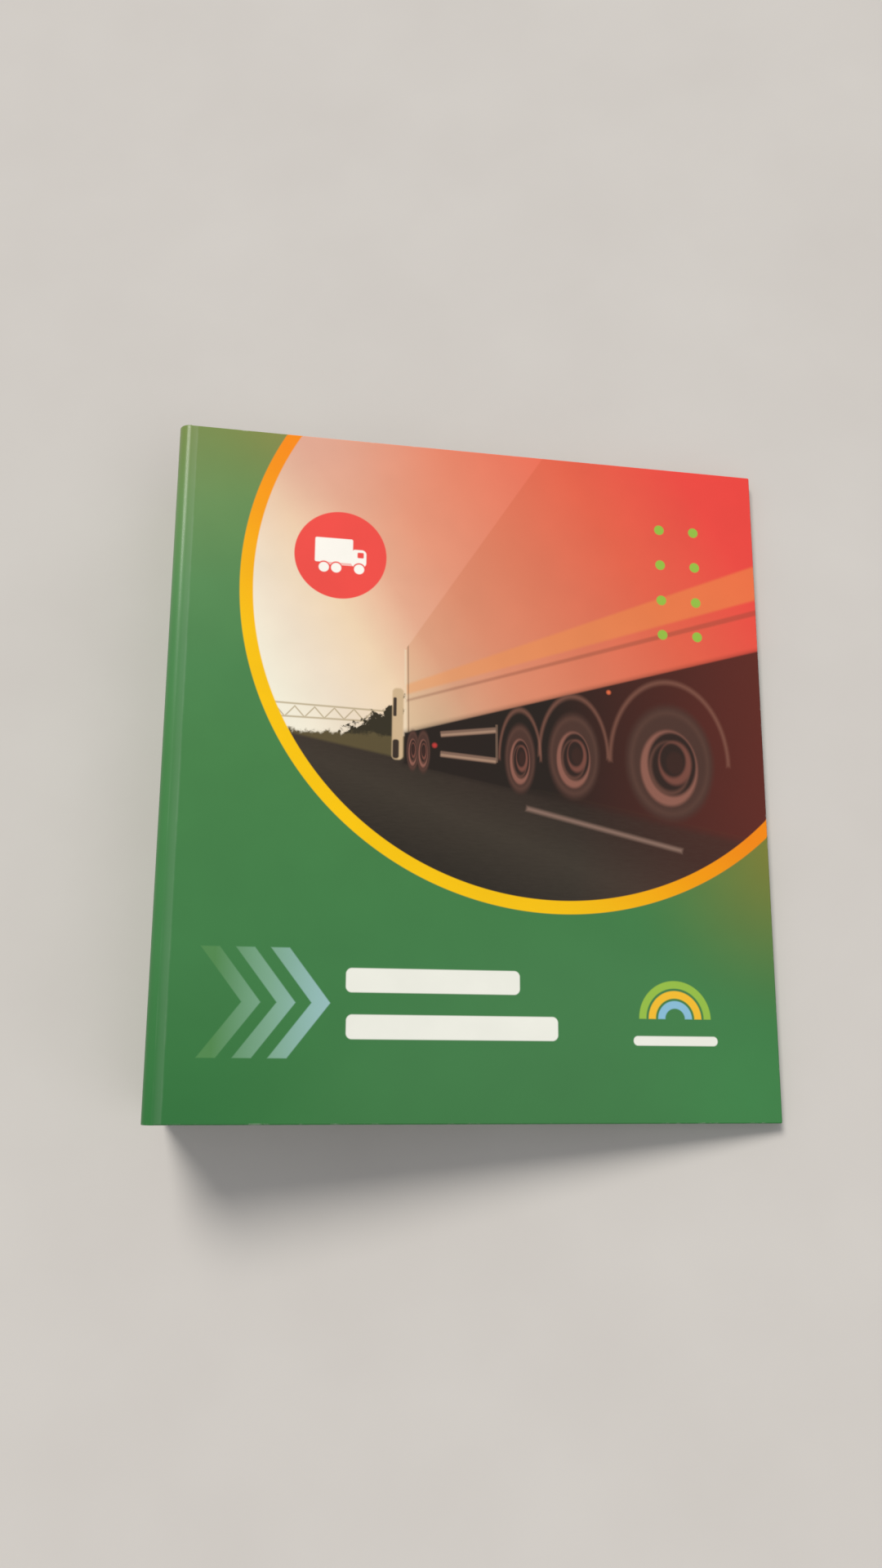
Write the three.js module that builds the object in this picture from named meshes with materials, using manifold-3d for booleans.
// A4 four-ring binder, closed and lying on its back cover.
// Millimetres. +X runs from the spine to the fore-edge, +Y up the page and +Z up off the table.
// The origin is on the table, under the middle of the closed binder.
//
// The case is three wrapped boards: back cover, spine and front cover. Paper strips hinge them at two folds.
// The ring mechanism is riveted to the back cover. Its two blades carry the half rings, and a lever at
// each end lifts the blades past centre to open the rings.

import * as THREE from 'three';
import { mergeVertices } from 'three/addons/utils/BufferGeometryUtils.js';
import Module from 'manifold-3d';

const wasm = await Module();
wasm.setup();

// ---------------------------------------------------------------- case
const coverHeight = 318; // tail edge to head edge
const coverWidth = 285; // fold to fore-edge
const spineWidth = 64; // fold to fold
const boardThickness = 2;
const wrapThickness = 0.3; // printed and laminated outer paper
const linerThickness = 0.3; // inner paper
const glueLine = 0.1; // between a paper and what it is glued to
const foldReach = 6; // fold to the nearest board edge
const turnIn = 15; // wrap folded over on to the inside
const linerInset = 3; // cover edge to liner edge
const seamGap = 0.1; // between a cover's wrap and the strip of the fold beside it
const foreEdgeGap = 0.6; // between the closed covers at the fore-edge
const foreEdgeStagger = 0.6; // inner edge of the front cover short of the back cover's edge
const foldSteps = 12; // facets round a fold

// ---------------------------------------------------------------- ring mechanism
// u is X from the mechanism's middle line, and w is Z above the liner of the back cover.
const ringPitch = 80; // hole pitch of punched A4 sheets
const ringCount = 4;
const wireDiameter = 4;
const ringHeadroom = 5.6; // closed ring to the liner of the front cover
const ringToSpine = 8.4; // closed ring to the liner of the spine
const ringCurveBottom = 2; // w that the circle of the round side would reach
const ringCurveStart = 8.6; // w where the round side begins
const curveToSplit = 2; // centre of the round side to the middle line
const ringShoulderRadius = 9; // corner of the straight side
const footFromPivot = 3.5; // blade pivot to the ring feet
const footBottom = 2.1; // w
const footHeadRim = 0.5; // head past the wire
const footHeadThickness = 0.6;
const footTop = 5.8; // w, where the wire leaves the straight of its foot
const splitGap = 0.3; // between the closed halves of a ring
const tongueRadius = 1;
const tongueLength = 1.6;
const socketClearance = 0.35;
const wireSides = 10;
const wireSteps = 24;
const roundSideSteps = 12; // path points round the round side
const shoulderSteps = 6; // path points round the corner of the straight side

const housingOverhang = 23; // outer ring to the end of the housing
const housingWidth = 38;
const housingTop = 9; // w
const housingShoulder = 5.4; // w, where the sides turn into the crown
const lipBottom = 2.4; // w
const lipWidth = 1; // past the inside of the wall
const sheet = 1; // thickness of the housing's steel
const crownSteps = 10;
const ringSlotClearance = 0.5; // each side of the wire
const ringSlotBottom = 4.9; // w

const bladeThickness = 1.2;
const bladeOverhang = 12; // outer ring to the end of the blade
const bladePivotHeight = 4.4; // w
const bladeWallGap = 0.5; // blade edge to the inside of the housing wall
const bladeDrop = 2.2; // how far the blades' inner edges lie under their pivots when closed
const bladeMiddleGap = 0.35; // inner edge to the middle line when closed
const bladeHoleClearance = 0.5; // round a ring foot

const rivetHeadRadius = 5;
const rivetHeadThickness = 0.8;
const rivetHeadRecess = 0.1; // under the face of the back cover
const postRadius = 3;
const neckRadius = 2;
const collarRim = 1.2; // collar past the post
const collarHeight = 1.3;
const collarSteps = 4; // facets up its dome
const rivetSides = 20;
const rivetClearance = 0.3; // round each step of the rivet
const shoulderGap = 0.2; // post to the underside of the housing
const bladeNotchClearance = 0.8; // round the post

const leverPivotOverhang = 18; // outer ring to the lever's pivot
const leverPivotHeight = 4.6; // w
const pinRadius = 1.2;
const pinClearance = 0.3;
const pinHeadRadius = 1.8;
const pinHeadThickness = 0.8;
const pinHeadGap = 0.2; // head to the housing wall
const pinSides = 12;
const barrelWall = 1;
const barrelSides = 20;
const leverNotchWidth = 16; // in the housing's ends
const leverNotchMargin = 2.5; // barrel to the closed end of the notch
const barrelSideGap = 0.5;
const neckSideGap = 2;
const leverTongueWidth = 8;
const tongueOverlap = 2.5; // lever's tongue under the ends of the blades
const tongueThickness = 0.8;
const tongueHeight = 0.5; // w of its underside
const armAngle = 60; // degrees above the cover
const armThickness = 1.2;
const armLength = 18; // pivot to tip
const neckLength = 9; // pivot to the start of the finger tab
const tabWidth = 20;
const tabFlare = 2; // length over which the neck widens
const tabCorner = 4;

// ---------------------------------------------------------------- levels and angles that follow
const half = coverHeight / 2;
const boardBottom = wrapThickness + glueLine;
const boardTop = boardBottom + boardThickness;
const turnInTop = boardTop + glueLine + wrapThickness;
const linerTop = boardTop + glueLine + linerThickness;
const linerLap = turnInTop + glueLine; // underside of the liner where it laps a turn-in
const edgeInset = wrapThickness + glueLine; // board edge inside the cover edge

// Seen from the tail the closed case is a triangle of known sides, so its two folds follow.
const foreEdgeX = coverWidth - foreEdgeStagger;
const foreEdgeZ = turnInTop + foreEdgeGap;
const closedLength = Math.hypot(foreEdgeX, foreEdgeZ);
const frontDiagonal = Math.hypot(coverWidth, turnInTop);
const spineAngle = Math.atan2(foreEdgeZ, foreEdgeX) + Math.acos(
  (spineWidth ** 2 + closedLength ** 2 - frontDiagonal ** 2) / (2 * spineWidth * closedLength));
const frontFoldX = spineWidth * Math.cos(spineAngle);
const frontFoldZ = spineWidth * Math.sin(spineAngle);
const diagonalSlope = Math.atan2(frontFoldZ - foreEdgeZ, foreEdgeX - frontFoldX);
const frontSlope = diagonalSlope - Math.atan2(turnInTop, coverWidth);
const backFoldTurn = Math.PI - spineAngle;
const frontFoldTurn = Math.PI + frontSlope - backFoldTurn;

const leftmost = foldReach - foldReach / Math.tan(backFoldTurn / 2);
const rightmost = Math.max(coverWidth, foreEdgeX + turnInTop * Math.sin(frontSlope));
const originX = (leftmost + rightmost) / 2;

const caseInside = linerLap + linerThickness; // outer face to liner
const wire = wireDiameter / 2;
const wallInside = housingWidth / 2 - sheet;
const bladePivot = wallInside - bladeWallGap;
const bladeTilt = Math.atan2(bladeDrop, bladePivot - bladeMiddleGap);
const bladeWidth = (bladePivot - bladeMiddleGap) / Math.cos(bladeTilt);
const footOffset = bladePivot - footFromPivot; // |u| of the ring feet
const outerRing = ringPitch * (ringCount - 1) / 2; // |v| of the first and last rings
const ringPlaces = Array.from({ length: ringCount }, (_, i) => i * ringPitch - outerRing);
const rivetFromMiddle = outerRing - ringPitch / 2; // between the last two rings of each end
const rivetPlaces = { bottom: -rivetFromMiddle, top: rivetFromMiddle };
const housingLength = 2 * (outerRing + housingOverhang);
const bladeLength = 2 * (outerRing + bladeOverhang);
const leverPivotFromMiddle = outerRing + leverPivotOverhang; // |v|
const barrelRadius = pinRadius + pinClearance + barrelWall;
const neckWidth = leverNotchWidth - 2 * neckSideGap;
const tongueReach = leverPivotOverhang - bladeOverhang + tongueOverlap; // lever pivot to tongue's tip

// The closed case sets the size of the rings and the place of the mechanism. The round side clears the spine,
// which gives fold to middle line = nearSpine + perHeight * ringTop. The corner of the straight side clears
// the front cover, which slopes down away from the spine, and that gives ringTop.
const sinSpine = Math.sin(spineAngle);
const cosSpine = Math.cos(spineAngle);
const spineRoom = wire + ringToSpine + caseInside;
const perHeight = (1 + cosSpine) / (2 * sinSpine);
const nearSpine = curveToSplit
  + (spineRoom - ringCurveBottom / 2 + (linerTop + ringCurveBottom / 2) * cosSpine) / sinSpine;
const cornerU = footOffset - ringShoulderRadius;
const cornerRoom = ringShoulderRadius + wire + ringHeadroom + caseInside;
const sinFront = Math.sin(frontSlope);
const cosFront = Math.cos(frontSlope);
const ringTop = ((frontFoldX - cornerU - nearSpine) * sinFront
  + (frontFoldZ - linerTop + ringShoulderRadius) * cosFront - cornerRoom) / (cosFront + perHeight * sinFront);
const mechanismFromFold = nearSpine + perHeight * ringTop;
const ringCurveRadius = (ringTop - ringCurveBottom) / 2;
const ringCurveCentre = ringTop - ringCurveRadius; // w
const ringCurveDip = Math.asin((ringCurveCentre - ringCurveStart) / ringCurveRadius); // below the centre
const ringCurveStartU = curveToSplit + ringCurveRadius * Math.cos(ringCurveDip); // |u|

// ---------------------------------------------------------------- finishes
const printedPaper = { color: 0x42854f, roughness: 0.35, metalness: 0 };
const greyBoard = { color: 0x9c968b, roughness: 0.9, metalness: 0 };
const whitePaper = { color: 0xe9e7e1, roughness: 0.7, metalness: 0 };
const platedSteel = { color: 0xc9ccd0, roughness: 0.25, metalness: 1 };
const brightSteel = { color: 0xd8dade, roughness: 0.15, metalness: 1 };

// ---------------------------------------------------------------- shaping helpers
const eastward = new THREE.Vector3(1, 0, 0);
const northward = new THREE.Vector3(0, 1, 0);
const southward = new THREE.Vector3(0, -1, 0);
const upward = new THREE.Vector3(0, 0, 1);

function slab(x0, x1, y0, y1, z0, z1) {
  const box = new THREE.BoxGeometry(Math.abs(x1 - x0), Math.abs(y1 - y0), Math.abs(z1 - z0));
  return box.translate((x0 + x1) / 2, (y0 + y1) / 2, (z0 + z1) / 2);
}

function shapeOf(points) {
  return new THREE.Shape(points.map(([a, b]) => new THREE.Vector2(a, b)));
}

// Outline of (x, z) points, extruded along Y.
function prismAlongY(points, y0, y1) {
  const prism = new THREE.ExtrudeGeometry(shapeOf(points), { depth: y1 - y0, bevelEnabled: false });
  prism.applyMatrix4(new THREE.Matrix4().makeBasis(eastward, upward, southward));
  return prism.translate(0, y1, 0);
}

// Outline of (y, z) points, extruded along X about the middle.
function prismAlongX(points, width) {
  const prism = new THREE.ExtrudeGeometry(shapeOf(points), { depth: width, bevelEnabled: false });
  prism.applyMatrix4(new THREE.Matrix4().makeBasis(northward, upward, eastward));
  return prism.translate(-width / 2, 0, 0);
}

function rodAlongZ(radius, x, y, z0, z1, sides = 16) {
  const rod = new THREE.CylinderGeometry(radius, radius, z1 - z0, sides).rotateX(Math.PI / 2);
  return rod.translate(x, y, (z0 + z1) / 2);
}

function rodAlongX(radius, x0, x1, y, z, sides = 16) {
  const rod = new THREE.CylinderGeometry(radius, radius, x1 - x0, sides).rotateZ(-Math.PI / 2);
  return rod.translate((x0 + x1) / 2, y, z);
}

function solid(geometry) {
  const bare = geometry.clone();
  bare.deleteAttribute('normal');
  bare.deleteAttribute('uv');
  const welded = mergeVertices(bare);
  return new wasm.Manifold(new wasm.Mesh({
    numProp: 3,
    vertProperties: Float32Array.from(welded.attributes.position.array),
    triVerts: Uint32Array.from(welded.index.array),
  }));
}

function surface(body) {
  const { vertProperties, triVerts } = body.getMesh();
  const geometry = new THREE.BufferGeometry();
  geometry.setAttribute('position', new THREE.BufferAttribute(vertProperties, 3));
  geometry.setIndex(new THREE.BufferAttribute(triVerts, 1));
  const faceted = geometry.toNonIndexed();
  faceted.computeVertexNormals();
  return faceted;
}

function joined(first, ...others) {
  return surface(others.reduce((body, other) => body.add(solid(other)), solid(first)));
}

function cut(first, ...tools) {
  return surface(tools.reduce((body, tool) => body.subtract(solid(tool)), solid(first)));
}

function piece(name, geometry, finish) {
  const mesh = new THREE.Mesh(geometry, new THREE.MeshStandardMaterial(finish));
  mesh.name = name;
  return mesh;
}

// ---------------------------------------------------------------- panels of the case
// A panel lies with its outer face on z = 0. It runs along X from x0 at a fold to x1, which is another
// fold, or the fore-edge where the wrap turns over as well.
function panelBoard({ x0, x1, foreEdge }) {
  const inset = half - edgeInset;
  return slab(x0, x1 - Math.sign(x1 - x0) * (foreEdge ? edgeInset : 0), -inset, inset, boardBottom, boardTop);
}

function panelWrap({ x0, x1, foreEdge }) {
  const along = Math.sign(x1 - x0);
  const past = along * turnIn;
  const edge = (inset) => (foreEdge ? x1 - along * inset : x1 + past);
  const tray = slab(x0, x1, -half, half, 0, turnInTop);
  const inner = half - wrapThickness;
  const innerTop = turnInTop - wrapThickness;
  const hollow = slab(x0 - past, edge(wrapThickness), -inner, inner, wrapThickness, innerTop);
  const open = half - turnIn;
  const opening = slab(x0 - past, edge(turnIn), -open, open, boardBottom, turnInTop + turnIn);
  return cut(tray, hollow, opening);
}

// The liner is one sheet: it lies on the board, steps up over the turn-ins and stops short of the edges.
function panelLiner({ x0, x1, foreEdge }) {
  const along = Math.sign(x1 - x0);
  const past = along * turnIn;
  const edge = (inset) => x1 - along * (foreEdge ? inset : 0);
  const step = turnIn + glueLine;
  const lapTop = linerLap + linerThickness;
  const lap = slab(x0, edge(linerInset), -(half - linerInset), half - linerInset, linerLap, lapTop);
  const pad = slab(x0, edge(step), -(half - step), half - step, boardTop + glueLine, lapTop);
  const floorEdge = half - step - linerThickness;
  const floorEnd = foreEdge ? edge(step + linerThickness) : x1 + past;
  const hollow = slab(x0 - past, floorEnd, -floorEdge, floorEdge, linerTop, lapTop + turnIn);
  return cut(joined(lap, pad), hollow);
}

// ---------------------------------------------------------------- folds
// A fold turns the next panel up by `turn` about the corner at x = 0. The panel before it lies on +X.
// Both papers follow one arc, which touches each panel at foldReach from the corner.
function foldPoint(turn, radius, angle) {
  const centre = foldReach / Math.tan(turn / 2);
  return [foldReach - radius * Math.sin(angle), centre - radius * Math.cos(angle)];
}

// A point of the turned panel, at a distance from the fold and a height over its outer face.
function turnedPoint(turn, distance, height) {
  return [
    height * Math.sin(turn) - distance * Math.cos(turn),
    distance * Math.sin(turn) + height * Math.cos(turn),
  ];
}

function foldArc(turn, radius, margin) {
  const step = (turn - 2 * margin) / foldSteps;
  const angles = Array.from({ length: foldSteps + 1 }, (_, i) => margin + step * i);
  return angles.map((angle) => foldPoint(turn, radius, angle));
}

function foldWrap(turn) {
  const outer = foldReach / Math.tan(turn / 2);
  const margin = seamGap / outer;
  const inner = outer - wrapThickness;
  const outline = [...foldArc(turn, outer, margin), ...foldArc(turn, inner, margin).reverse()];
  return prismAlongY(outline, -half, half);
}

// The liner runs down the edge of one board, round the arc inside the wrap and up the edge of the next board.
function foldLiner(turn) {
  const outer = foldReach / Math.tan(turn / 2) - wrapThickness - glueLine;
  const inner = outer - linerThickness;
  const near = foldReach - glueLine;
  const far = near - linerThickness;
  const outline = [
    [near, linerTop],
    ...foldArc(turn, outer, Math.asin((foldReach - near) / outer)),
    turnedPoint(turn, near, linerTop),
    turnedPoint(turn, far, linerTop),
    ...foldArc(turn, inner, Math.asin((foldReach - far) / inner)).reverse(),
    [far, linerTop],
  ];
  const length = half - linerInset;
  return prismAlongY(outline, -length, length);
}

// ---------------------------------------------------------------- mechanism pieces, in u, v and w
function ringHousing() {
  const side = housingWidth / 2;
  const lipInside = wallInside - lipWidth;
  const crown = (reach, top) => Array.from({ length: crownSteps + 1 }, (_, i) => {
    const angle = Math.PI * (i / crownSteps);
    return [reach * Math.cos(angle), housingShoulder + (top - housingShoulder) * Math.sin(angle)];
  });
  const lipTop = lipBottom + sheet;
  const channel = prismAlongY([
    [lipInside, lipBottom], [side, lipBottom],
    ...crown(side, housingTop),
    [-side, lipBottom], [-lipInside, lipBottom], [-lipInside, lipTop], [-wallInside, lipTop],
    ...crown(wallInside, housingTop - sheet).reverse(),
    [wallInside, lipTop], [lipInside, lipTop],
  ], -housingLength / 2, housingLength / 2);

  const slotHalf = wire + ringSlotClearance;
  const slotInner = Math.min(footOffset, ringCurveStartU) - slotHalf;
  const slots = ringPlaces.flatMap((v) => [-1, 1].map((hand) => slab(
    hand * slotInner, hand * (side + sheet), v - slotHalf, v + slotHalf,
    ringSlotBottom, housingTop + sheet)));
  const leverNotchDepth = housingOverhang - leverPivotOverhang + barrelRadius + leverNotchMargin;
  const notches = [-1, 1].map((end) => slab(
    -leverNotchWidth / 2, leverNotchWidth / 2,
    end * (housingLength / 2 - leverNotchDepth), end * (housingLength / 2 + sheet),
    housingShoulder, housingTop + sheet));
  const rivetHoles = Object.values(rivetPlaces).map((v) => rodAlongZ(
    neckRadius + rivetClearance, 0, v, housingShoulder, housingTop + sheet));
  const pinHoles = [-1, 1].map((end) => rodAlongX(
    pinRadius + pinClearance, -housingWidth, housingWidth, end * leverPivotFromMiddle, leverPivotHeight));
  return cut(channel, ...slots, ...notches, ...rivetHoles, ...pinHoles);
}

// A blade starts at its pivot and runs to the middle line, along X in the direction of `inward`.
function blade(inward) {
  const foot = inward * (bladePivot - footOffset) / Math.cos(bladeTilt);
  const middle = inward * bladePivot / Math.cos(bladeTilt);
  const halfThickness = bladeThickness / 2;
  const end = bladeLength / 2;
  const plate = slab(0, inward * bladeWidth, -end, end, -halfThickness, halfThickness);
  const feet = ringPlaces.map((v) => rodAlongZ(
    wire + bladeHoleClearance, foot, v, -bladeThickness, bladeThickness));
  const posts = Object.values(rivetPlaces).map((v) => rodAlongZ(
    postRadius + bladeNotchClearance, middle, v, -bladeThickness, bladeThickness));
  return cut(plate, ...feet, ...posts);
}

function arcPoints(centreU, centreW, radius, from, to, count) {
  return Array.from({ length: count + 1 }, (_, i) => {
    const angle = THREE.MathUtils.degToRad(from + (to - from) * (i / count));
    return new THREE.Vector3(centreU + radius * Math.cos(angle), 0, centreW + radius * Math.sin(angle));
  });
}

function wireAlong(points) {
  const path = new THREE.CatmullRomCurve3(points, false, 'centripetal');
  const round = Array.from({ length: wireSides }, (_, i) => {
    const angle = 2 * Math.PI * (i / wireSides);
    return [wire * Math.cos(angle), wire * Math.sin(angle)];
  });
  return new THREE.ExtrudeGeometry(shapeOf(round), { steps: wireSteps, extrudePath: path });
}

function footHead(u) {
  return rodAlongZ(wire + footHeadRim, u, 0, footBottom, footBottom + footHeadThickness);
}

// The spine side of a ring: the round side of the D, with a tongue at the split.
function curvedHalf() {
  const u = -footOffset;
  const start = 180 + THREE.MathUtils.radToDeg(ringCurveDip);
  const path = [
    new THREE.Vector3(u, 0, footBottom + footHeadThickness / 2),
    new THREE.Vector3(u, 0, (footBottom + footTop) / 2),
    new THREE.Vector3(u, 0, footTop),
    ...arcPoints(-curveToSplit, ringCurveCentre, ringCurveRadius, start, 90, roundSideSteps),
    new THREE.Vector3(-splitGap / 2, 0, ringTop),
  ];
  const tongue = rodAlongX(tongueRadius, -wire, tongueLength - splitGap / 2, 0, ringTop, wireSides);
  return joined(wireAlong(path), footHead(u), tongue);
}

// The page side of a ring: the straight side of the D, with a socket for the tongue.
function straightHalf() {
  const u = footOffset;
  const bendW = ringTop - ringShoulderRadius;
  const path = [
    new THREE.Vector3(u, 0, footBottom + footHeadThickness / 2),
    new THREE.Vector3(u, 0, bendW / 2),
    ...arcPoints(cornerU, bendW, ringShoulderRadius, 0, 90, shoulderSteps),
    new THREE.Vector3(splitGap / 2, 0, ringTop),
  ];
  const socketRadius = tongueRadius + socketClearance;
  const socket = rodAlongX(socketRadius, 0, tongueLength + socketClearance, 0, ringTop, wireSides);
  return cut(joined(wireAlong(path), footHead(u)), socket);
}

// The lever of the +Y end about its pivot: a barrel curled round the pin, a tongue under the blades and
// an arm that ends in a finger tab.
function lever() {
  const barrelWidth = leverNotchWidth - 2 * barrelSideGap;
  const under = tongueHeight - leverPivotHeight;
  const over = under + tongueThickness;
  const barrel = rodAlongX(barrelRadius, -barrelWidth / 2, barrelWidth / 2, 0, 0, barrelSides);
  const bore = rodAlongX(pinRadius + pinClearance, -barrelWidth, barrelWidth, 0, 0);
  const tongue = prismAlongX([
    [-tongueReach, under],
    [-pinRadius - tongueThickness, under],
    [0, -barrelRadius + tongueThickness / 2],
    [-barrelRadius + tongueThickness / 2, 0],
    [-barrelRadius - tongueThickness, over],
    [-tongueReach, over],
  ], leverTongueWidth);

  const outline = new THREE.Shape();
  outline.moveTo(-neckWidth / 2, pinRadius + pinClearance);
  outline.lineTo(neckWidth / 2, pinRadius + pinClearance);
  outline.lineTo(neckWidth / 2, neckLength);
  outline.lineTo(tabWidth / 2, neckLength + tabFlare);
  outline.absarc(tabWidth / 2 - tabCorner, armLength - tabCorner, tabCorner, 0, Math.PI / 2);
  outline.absarc(tabCorner - tabWidth / 2, armLength - tabCorner, tabCorner, Math.PI / 2, Math.PI);
  outline.lineTo(-tabWidth / 2, neckLength + tabFlare);
  outline.lineTo(-neckWidth / 2, neckLength);
  const sheetSettings = { depth: armThickness, bevelEnabled: false, curveSegments: 4 };
  const arm = new THREE.ExtrudeGeometry(outline, sheetSettings);
  arm.translate(0, 0, -armThickness / 2).rotateX(THREE.MathUtils.degToRad(armAngle));
  return cut(joined(barrel, tongue, arm), bore);
}

function lathe(profile, sides) {
  const points = profile.map(([r, z]) => new THREE.Vector2(r, z));
  return new THREE.LatheGeometry(points, sides).rotateX(Math.PI / 2);
}

// A pin through both walls of the housing, with a head outside each.
function leverPin() {
  const headStart = housingWidth / 2 + pinHeadGap;
  const end = headStart + pinHeadThickness;
  const profile = [
    [0, -end], [pinHeadRadius, -end], [pinHeadRadius, -headStart], [pinRadius, -headStart],
    [pinRadius, headStart], [pinHeadRadius, headStart], [pinHeadRadius, end], [0, end],
  ];
  return lathe(profile, pinSides).rotateY(Math.PI / 2);
}

// Heights here are from the outer face of the back cover.
function mountRivet() {
  const headTop = rivetHeadRecess + rivetHeadThickness;
  const postTop = linerTop + housingTop - sheet - shoulderGap;
  const collarBottom = linerTop + housingTop + rivetClearance;
  const dome = Array.from({ length: collarSteps }, (_, i) => {
    const angle = (Math.PI / 2) * (i / collarSteps);
    return [(postRadius + collarRim) * Math.cos(angle), collarBottom + collarHeight * Math.sin(angle)];
  });
  const profile = [
    [0, rivetHeadRecess], [rivetHeadRadius, rivetHeadRecess], [rivetHeadRadius, headTop],
    [postRadius, headTop], [postRadius, postTop], [neckRadius, postTop], [neckRadius, collarBottom],
    ...dome, [0, collarBottom + collarHeight],
  ];
  return lathe(profile, rivetSides);
}

// Holes that the mount rivets take through the back cover: a recess for the head, then the post's hole.
function rivetTools() {
  const recessTop = rivetHeadRecess + rivetHeadThickness + rivetClearance;
  return Object.values(rivetPlaces).flatMap((v) => [
    rodAlongZ(rivetHeadRadius + rivetClearance, mechanismFromFold, v, -recessTop, recessTop, rivetSides),
    rodAlongZ(postRadius + rivetClearance, mechanismFromFold, v, 0, linerTop + recessTop),
  ]);
}

// ---------------------------------------------------------------- assembly
const binder = new THREE.Group();
const caseGroup = new THREE.Group();
caseGroup.position.x = -originX;
binder.add(caseGroup);

const backPanel = { x0: foldReach, x1: coverWidth, foreEdge: true };
caseGroup.add(
  piece('back_board', cut(panelBoard(backPanel), ...rivetTools()), greyBoard),
  piece('back_wrap', cut(panelWrap(backPanel), ...rivetTools()), printedPaper),
  piece('back_liner', cut(panelLiner(backPanel), ...rivetTools()), whitePaper),
);

const spineGroup = new THREE.Group();
spineGroup.rotation.y = backFoldTurn;
const spinePanel = { x0: -foldReach, x1: foldReach - spineWidth, foreEdge: false };
spineGroup.add(
  piece('spine_board', panelBoard(spinePanel), greyBoard),
  piece('spine_wrap', panelWrap(spinePanel), printedPaper),
  piece('spine_liner', panelLiner(spinePanel), whitePaper),
);
caseGroup.add(spineGroup);

const frontGroup = new THREE.Group();
frontGroup.position.x = -spineWidth;
frontGroup.rotation.y = frontFoldTurn;
const frontPanel = { x0: -foldReach, x1: -coverWidth, foreEdge: true };
frontGroup.add(
  piece('front_board', panelBoard(frontPanel), greyBoard),
  piece('front_wrap', panelWrap(frontPanel), printedPaper),
  piece('front_liner', panelLiner(frontPanel), whitePaper),
);
spineGroup.add(frontGroup);

caseGroup.add(
  piece('back_hinge_wrap', foldWrap(backFoldTurn), printedPaper),
  piece('back_hinge_liner', foldLiner(backFoldTurn), whitePaper),
);
const frontFoldGroup = new THREE.Group();
frontFoldGroup.position.x = -spineWidth;
frontFoldGroup.add(
  piece('front_hinge_wrap', foldWrap(frontFoldTurn), printedPaper),
  piece('front_hinge_liner', foldLiner(frontFoldTurn), whitePaper),
);
spineGroup.add(frontFoldGroup);

const mechanism = new THREE.Group();
mechanism.position.set(mechanismFromFold, 0, linerTop);
caseGroup.add(mechanism);
mechanism.add(piece('ring_housing', ringHousing(), platedSteel));

for (const [side, hand] of [['spine', -1], ['page', 1]]) {
  const bladeGroup = new THREE.Group();
  bladeGroup.position.set(hand * bladePivot, 0, bladePivotHeight);
  bladeGroup.rotation.y = -hand * bladeTilt;
  bladeGroup.add(piece(`${side}_side_blade`, blade(-hand), platedSteel));
  mechanism.add(bladeGroup);
}

ringPlaces.forEach((v, i) => {
  const halves = { spine: curvedHalf(), page: straightHalf() };
  for (const [side, geometry] of Object.entries(halves)) {
    const ring = piece(`ring_${i + 1}_${side}_half`, geometry, brightSteel);
    ring.position.y = v;
    mechanism.add(ring);
  }
});

for (const [end, turn] of [['bottom', Math.PI], ['top', 0]]) {
  const leverGroup = new THREE.Group();
  leverGroup.position.set(0, Math.cos(turn) * leverPivotFromMiddle, leverPivotHeight);
  leverGroup.rotation.z = turn;
  leverGroup.add(piece(`${end}_lever`, lever(), brightSteel));
  leverGroup.add(piece(`${end}_lever_pin`, leverPin(), platedSteel));
  mechanism.add(leverGroup);
}

for (const [end, v] of Object.entries(rivetPlaces)) {
  const rivet = piece(`${end}_mount_rivet`, mountRivet(), platedSteel);
  rivet.position.set(mechanismFromFold, v, 0);
  caseGroup.add(rivet);
}

export default binder;
